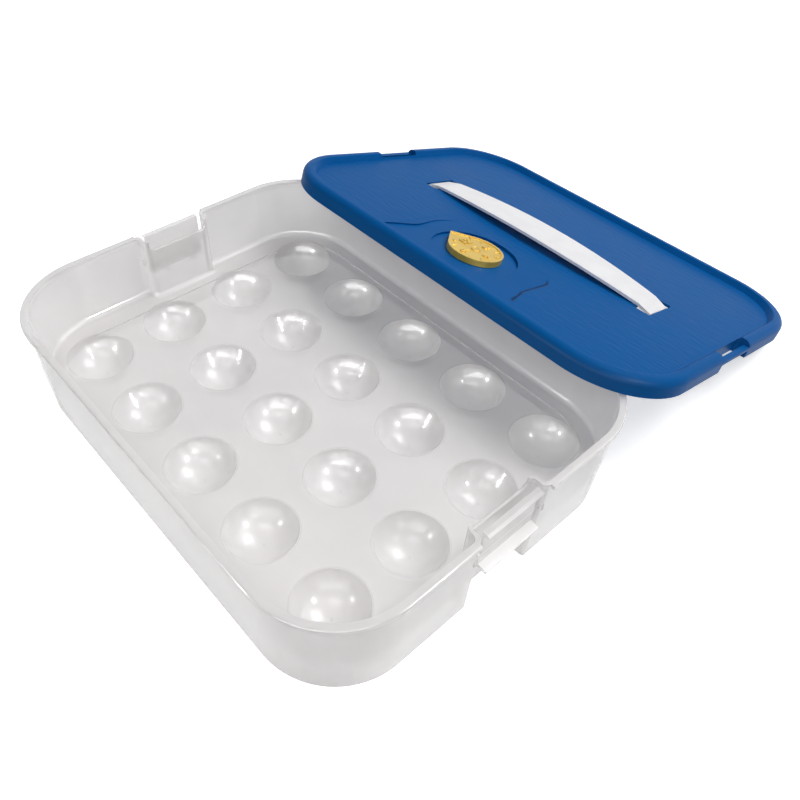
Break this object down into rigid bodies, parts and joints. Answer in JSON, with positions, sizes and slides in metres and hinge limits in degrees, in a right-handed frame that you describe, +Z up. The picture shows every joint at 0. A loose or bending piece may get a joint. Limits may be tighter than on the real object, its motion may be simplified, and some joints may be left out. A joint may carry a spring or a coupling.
{
  "type": "egg keeper",
  "caption": "Shallow clear plastic egg box with moulded cups and end latches, its blue lid with a strap handle and a date dial leaning on the rear rim.",
  "frame": {"origin": "bottom centre of the box round the tub and the leaning lid, on the table", "axes": "+X along the tub's long side towards its right-hand latch, +Y towards the side where the lid leans, +Z up"},
  "size_m": [0.3306, 0.4698, 0.0815],
  "materials": {
    "clear_tub": "translucent, glossy",
    "clear_latch": "translucent, glossy",
    "blue_lid": "satin, fine pebble on the panel",
    "white_strap": "satin",
    "gold_dial": "satin, metallic pigment"
  },
  "bodies": {
    "tub": {"tub": "clear_tub"},
    "lid": {"lid": "blue_lid"},
    "strap": {"strap_handle": "white_strap"},
    "dial": {"date_dial": "gold_dial"},
    "latch_right": {"end_latch_right": "clear_latch"},
    "latch_left": {"end_latch_left": "clear_latch"}
  },
  "joints": [
    {"name": "lid_lift", "type": "slide", "parent": "tub", "child": "lid", "axis": [0, 0, 1], "range_m": [0, 0.15]},
    {"name": "strap_lift", "type": "slide", "parent": "lid", "child": "strap", "axis": [0, 0.2781, 0.9605], "range_m": [0, 0.003]},
    {"name": "dial_turn", "type": "hinge", "parent": "lid", "child": "dial", "pos_m": [-0.003, 0.03631, 0.05696], "axis": [0, 0.2781, 0.9605], "continuous": true},
    {"name": "latch_right_swing", "type": "hinge", "parent": "tub", "child": "latch_right", "pos_m": [0.158, -0.1084, 0.047], "axis": [0, -1, 0], "range_deg": [0, 20], "stiffness_Nm_per_rad": 0.05, "springref_deg": -5.73},
    {"name": "latch_left_swing", "type": "hinge", "parent": "tub", "child": "latch_left", "pos_m": [-0.158, -0.1084, 0.047], "axis": [0, 1, 0], "range_deg": [0, 20], "stiffness_Nm_per_rad": 0.05, "springref_deg": -5.73}
  ]
}
